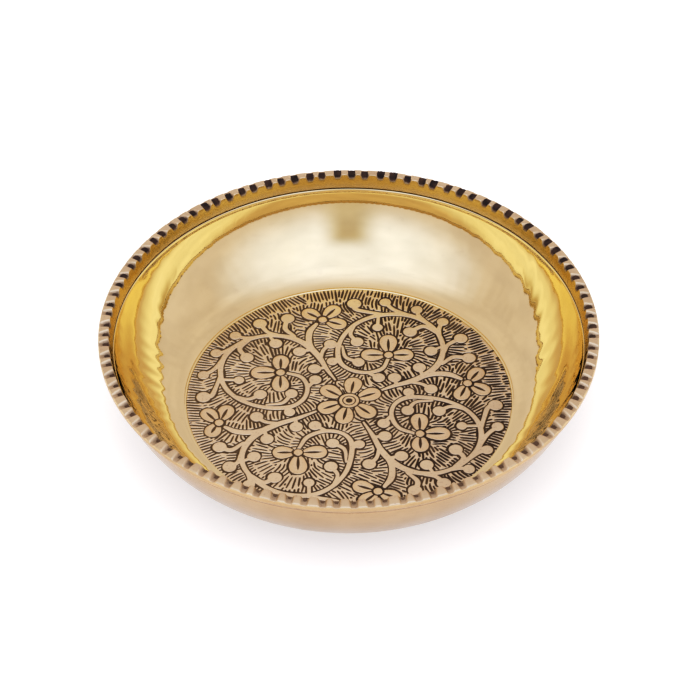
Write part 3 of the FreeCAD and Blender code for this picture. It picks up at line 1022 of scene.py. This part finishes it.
def satin_brass():
    """Satin outside of the bowl: pinkish tan, with faint turning lines and small dark pits."""
    material, tree, shader = new_material("satin_brass")
    brushed = turned_noise(tree, 3200.0, 3.0, 3.0, 0.6)
    lines = turned_noise(tree, 2000.0, 3.0, 3.0, 0.7)
    cloud = noise(tree, 62.0, 5.0, 0.65)
    pits = noise(tree, 900.0, 3.0)
    colour = clouded(tree, cloud, 0.68, (0.50, 0.355, 0.222), (0.45, 0.312, 0.188))
    lined = between(tree, lines, 0.14, 0.0, 0.3, 0.54)
    colour = mixed(tree, lined, colour, (0.33, 0.225, 0.14))
    colour = flecked(tree, colour, lines, 0.15, 0.57, 0.75, (0.60, 0.44, 0.28))
    colour = flecked(tree, colour, pits, 0.5, 0.66, 0.8, (0.26, 0.17, 0.11))
    # Seam line painted near-black: dark patina in the joint, and painted shade of the crevice
    seam_black_and_shade = attribute(tree, "seam_black_and_shade")
    colour = mixed(tree, seam_black_and_shade, colour, (0.04, 0.028, 0.02))
    rough = between(tree, brushed, 0.15, 0.25, 0.3, 0.75)
    rough = added(tree, rough, between(tree, cloud, -0.03, 0.04, 0.3, 0.7))
    finish(tree, shader, colour, rough, brushed, 0.22, 0.00003)
    return material


def rim_brass():
    """The rim: satin and scratched on its land, bright on its inner face with a painted reflection
    of the gold wall, browned in its notches.
    """
    material, tree, shader = new_material("rim_brass")
    scratches = noise(tree, 900.0, 3.0, 0.65)
    brushed = turned_noise(tree, 3000.0, 4.0, 3.0, 0.6)
    depth = attribute(tree, "notch_depth")
    inner = attribute(tree, "inner")
    cloud = noise(tree, 60.0, 4.0, 0.6)
    satin = clouded(tree, cloud, 0.68, (0.84, 0.68, 0.38), (0.74, 0.59, 0.32))
    outside = clouded(tree, cloud, 0.68, (0.56, 0.40, 0.24), (0.46, 0.32, 0.19))
    colour = mixed(tree, attribute(tree, "outer"), satin, outside)
    # Painted reflection: the inner face takes the amber gold of the wall it mirrors
    colour = mixed(tree, inner, colour, (0.62, 0.435, 0.14))
    worn = between(tree, scratches, 0.0, 0.4, 0.58, 0.75)
    worn = times(tree, worn, between(tree, inner, 1.0, 0.3))
    colour = mixed(tree, worn, colour, (0.42, 0.27, 0.17))
    browned = between(tree, depth, 0.0, 0.92, 0.15, 0.95)
    browned = times(tree, browned, between(tree, scratches, 0.75, 1.2, 0.3, 0.6))
    colour = mixed(tree, browned, colour, (0.16, 0.095, 0.055))
    # Seam line painted near-black: dark patina in the joint, and painted shade of the crevice
    colour = mixed(tree, attribute(tree, "seam_black_and_shade"), colour, (0.09, 0.055, 0.035))
    rough = between(tree, inner, 0.36, 0.12)
    rough = added(tree, rough, between(tree, brushed, -0.03, 0.06, 0.3, 0.7))
    rough = added(tree, rough, between(tree, depth, 0.0, 0.25, 0.05, 0.8))
    finish(tree, shader, colour, rough, scratches, 0.18, 0.00004)
    return material


def patina():
    """Brown-black crust in the notches, paler at the front."""
    material, tree, shader = new_material("patina", 0.0, 0.2)
    grain = noise(tree, 1400.0, 4.0, 0.6)
    patches = noise(tree, 330.0, 2.0)
    colour = clouded(tree, patches, 0.7, (0.016, 0.011, 0.008), (0.06, 0.034, 0.02))
    colour = flecked(tree, colour, grain, 0.4, 0.6, 0.8, (0.16, 0.105, 0.06))
    paler_at_front = split(tree, position(tree))[1]
    paler_at_front = between(tree, paler_at_front, 0.75, 0.0, -0.075, 0.03)
    colour = mixed(tree, paler_at_front, colour, (0.13, 0.08, 0.042))
    rough = between(tree, grain, 0.42, 0.62)
    finish(tree, shader, colour, rough, grain, 0.5, 0.00006)
    return material


def chased_brass():
    """The floor disc: satin lands, browned cuts, and flowers with a warm golden tint."""
    material, tree, shader = new_material("chased_brass")
    depth = attribute(tree, "depth")
    gild = attribute(tree, "gild")
    worn = noise(tree, 75.0, 5.0, 0.6)
    grain = noise(tree, 1300.0, 3.0, 0.6)
    colour = clouded(tree, worn, 0.68, (0.97, 0.81, 0.47), (0.88, 0.72, 0.41))
    tint = times(tree, gild, 0.4)
    colour = mixed(tree, tint, colour, (0.88, 0.61, 0.23))
    colour = flecked(tree, colour, grain, 0.35, 0.55, 0.75, (0.36, 0.24, 0.14))
    browned = between(tree, depth, 0.0, 1.0, 0.015, 0.15)
    browned = times(tree, browned, between(tree, worn, 1.0, 0.8, 0.3, 0.8))
    side = split(tree, position(tree))[0]
    browned = added(tree, browned, between(tree, side, 0.0, 0.1, 0.0, 0.045))
    colour = mixed(tree, browned, colour, (0.07, 0.042, 0.024))
    rough = between(tree, worn, 0.26, 0.40, 0.3, 0.7)
    rough = added(tree, rough, between(tree, depth, 0.0, 0.25, 0.0, 0.15))
    finish(tree, shader, colour, rough, grain, 0.2, 0.00004)
    return material


def black_lac():
    """Black filling in the cuts: dull, and browner on the left, where it is thin."""
    material, tree, shader = new_material("black_lac", 0.0, 0.15)
    patches = noise(tree, 160.0, 4.0, 0.6)
    grain = noise(tree, 1800.0, 3.0)
    colour = mixed(tree, between(tree, patches, 0.0, 1.0, 0.4, 0.75),
                   (0.030, 0.018, 0.009), (0.075, 0.045, 0.02))
    side = split(tree, position(tree))[0]
    thin = between(tree, side, 0.55, 0.0, -0.045, 0.02)
    colour = mixed(tree, thin, colour, (0.11, 0.07, 0.03))
    rough = between(tree, grain, 0.45, 0.65)
    finish(tree, shader, colour, rough, grain, 0.4, 0.00004)
    return material


def filler_metal(name, light, dark, roughness):
    """Braze and solder: a rippled, slightly clouded metal, out of sight in the joints."""
    material, tree, shader = new_material(name)
    ripple = noise(tree, 420.0, 3.0)
    colour = mixed(tree, ripple, light, dark)
    rough = between(tree, ripple, roughness, roughness + 0.2)
    finish(tree, shader, colour, rough, ripple, 0.4, 0.00005)
    return material


def paint_node(name, material):
    """Gives a carried-over CAD node its finish."""
    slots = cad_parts[name].data.materials
    if len(slots) == 0:
        slots.append(material)
    for index in range(len(slots)):
        slots[index] = material


# Studio

def white_floor():
    half = 6000.0
    corners = np.array([[-half, -half, 0], [half, -half, 0], [half, half, 0], [-half, half, 0]])
    material, tree, shader = new_material("white_floor", 0.0)
    dust = noise(tree, 3.0, 2.0)
    tree.links.new(mixed(tree, dust, (0.60, 0.59, 0.54), (0.58, 0.57, 0.52)),
                   shader.inputs["Base Color"])
    shader.inputs["Roughness"].default_value = 0.9
    shader.inputs["Emission Color"].default_value = (1.0, 1.0, 0.98, 1.0)
    shader.inputs["Emission Strength"].default_value = 0.5
    floor = build_mesh("floor", corners - [0, 0, 0.02], np.array([[0, 1, 2, 3]]), [material])


def smooth_range(tree, value, start, end, low=0.0, high=1.0):
    """A number that goes smoothly from low to high as a value goes from start to end."""
    inputs = {0: value, 1: start, 2: end, 3: low, 4: high}
    node = put(tree, "MapRange", inputs, interpolation_type="SMOOTHSTEP")
    return node.outputs[0]


def lobe(tree, direction, towards, wide, narrow):
    """1 within the narrow angle of a direction, falling smoothly to 0 at the wide one."""
    inputs = {0: direction, 1: Vector(towards).normalized()}
    dot = put(tree, "VectorMath", inputs, operation="DOT_PRODUCT").outputs["Value"]
    return smooth_range(tree, dot, math.cos(math.radians(wide)), math.cos(math.radians(narrow)))


def soft_step(tree, sine, from_degrees, to_degrees):
    """0 at one height above the horizon and 1 at the other, smoothly."""
    start, end = math.radians(from_degrees), math.radians(to_degrees)
    return smooth_range(tree, sine, math.sin(start), math.sin(end))


def studio_light():
    """A cool white tent, brightest in front at half height, with a narrow dark upright there."""
    world = bpy.data.worlds.new("studio")
    bpy.context.scene.world = world
    world.use_nodes = True
    tree = world.node_tree
    background = tree.nodes["Background"]
    direction = put(tree, "TexCoord").outputs["Generated"]
    parts = split(tree, direction)
    key = lobe(tree, direction, (0.0, -0.77, 0.64), 68.0, 20.0)
    key = times(tree, key, soft_step(tree, parts[2], -2.0, 30.0))
    colour = mixed(tree, key, (0.69, 0.62, 0.76), (1.07, 1.16, 1.8))
    forward = times(tree, parts[1], -1.0)
    turned = arithmetic(tree, "ABSOLUTE", arithmetic(tree, "ARCTAN2", parts[0], forward), 0.0)
    upright = smooth_range(tree, turned, math.radians(2.0), math.radians(18.0), 1.0, 0.0)
    upright = times(tree, upright, soft_step(tree, parts[2], 46.0, 31.0))
    faint = between(tree, soft_step(tree, parts[2], 8.0, 30.0), 0.9, 1.0)
    upright = times(tree, upright, faint)
    colour = mixed(tree, upright, colour, (0.57, 0.51, 0.53))
    cloth = between(tree, noise(tree, 3.5, 2.0, coords=direction), 0.9, 1.06, 0.3, 0.7)
    colour = mixed(tree, 1.0, colour, grey(tree, cloth), "MULTIPLY")
    straight_view = put(tree, "LightPath").outputs["Is Camera Ray"]
    colour = mixed(tree, straight_view, colour, (1.0, 1.0, 1.0))
    tree.links.new(colour, background.inputs["Color"])
    background.inputs["Strength"].default_value = 1.0


def floor_light():
    """A large soft lamp overhead that whitens the floor and leaves the metal's reflections alone."""
    lamp = bpy.data.lights.new("overhead", "AREA")
    lamp.shape = "DISK"
    lamp.size = 1.6
    lamp.energy = 22.0
    lamp.color = (1.0, 0.95, 0.78)
    holder = bpy.data.objects.new("overhead", lamp)
    holder.location = (0.0, -0.3, 1.6)
    holder.rotation_euler = (Vector((0, 0, 0)) - holder.location).to_track_quat("-Z", "Y").to_euler()
    holder.visible_glossy = False
    bpy.context.scene.collection.objects.link(holder)


CAMERA_ELEVATION = 42.3
CAMERA_DISTANCE = 825.0
CAMERA_LENS = 141.6
CAMERA_ROLL = -0.32
AIM_BELOW_RIM = 9.4
AIM_ASIDE = 0.36


def studio_camera():
    elevation = math.radians(CAMERA_ELEVATION)
    rim_centre = Vector((0.0, 0.0, HEIGHT))
    back = Vector((0.0, -math.cos(elevation), math.sin(elevation)))
    place = rim_centre + back * CAMERA_DISTANCE
    aim = rim_centre + Vector((AIM_ASIDE, 0.0, -AIM_BELOW_RIM))
    turn_to = (aim - place).to_track_quat("-Z", "Y").to_matrix().to_4x4()
    roll = Matrix.Rotation(math.radians(CAMERA_ROLL), 4, "Z")
    data = bpy.data.cameras.new("camera")
    data.lens = CAMERA_LENS
    data.sensor_width = 36.0
    camera = bpy.data.objects.new("camera", data)
    bpy.context.scene.collection.objects.link(camera)
    camera.matrix_world = Matrix.Translation(place * MM) @ turn_to @ roll
    bpy.context.scene.camera = camera


def print_contrast():
    """The look of a catalogue picture: a little more contrast, most of it in the darks."""
    view = bpy.context.scene.view_settings
    view.view_transform = "Standard"
    view.use_curve_mapping = True
    curve = view.curve_mapping.curves[3]
    for x, y in [(0.05, 0.024), (0.13, 0.088), (0.3, 0.27), (0.46, 0.475), (0.66, 0.695)]:
        curve.points.new(x, y)
    view.curve_mapping.update()


def add_piece(piece, slot, *nodes):
    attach(piece, "root")
    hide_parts(*nodes)


satin = satin_brass()
chased_cut, chased_gild = chase()
add_piece(make_shell(polished_brass(), satin), "polished_brass", "bowl_shell")
add_piece(make_rim(rim_brass()), "satin_brass", "rim_band")
add_piece(make_notch_patina(patina()), "patina", "notch_patina")
add_piece(make_floor_plate(chased_cut, chased_gild, chased_brass()), "chased_brass", "floor_plate")
add_piece(make_lac(chased_cut, black_lac()), "black_lac", "floor_lac")
paint_node("rim_braze", filler_metal("braze", (0.80, 0.66, 0.38), (0.62, 0.48, 0.26), 0.3))
paint_node("floor_solder", filler_metal("solder", (0.58, 0.57, 0.55), (0.40, 0.39, 0.38), 0.35))

white_floor()
studio_light()
floor_light()
studio_camera()
print_contrast()
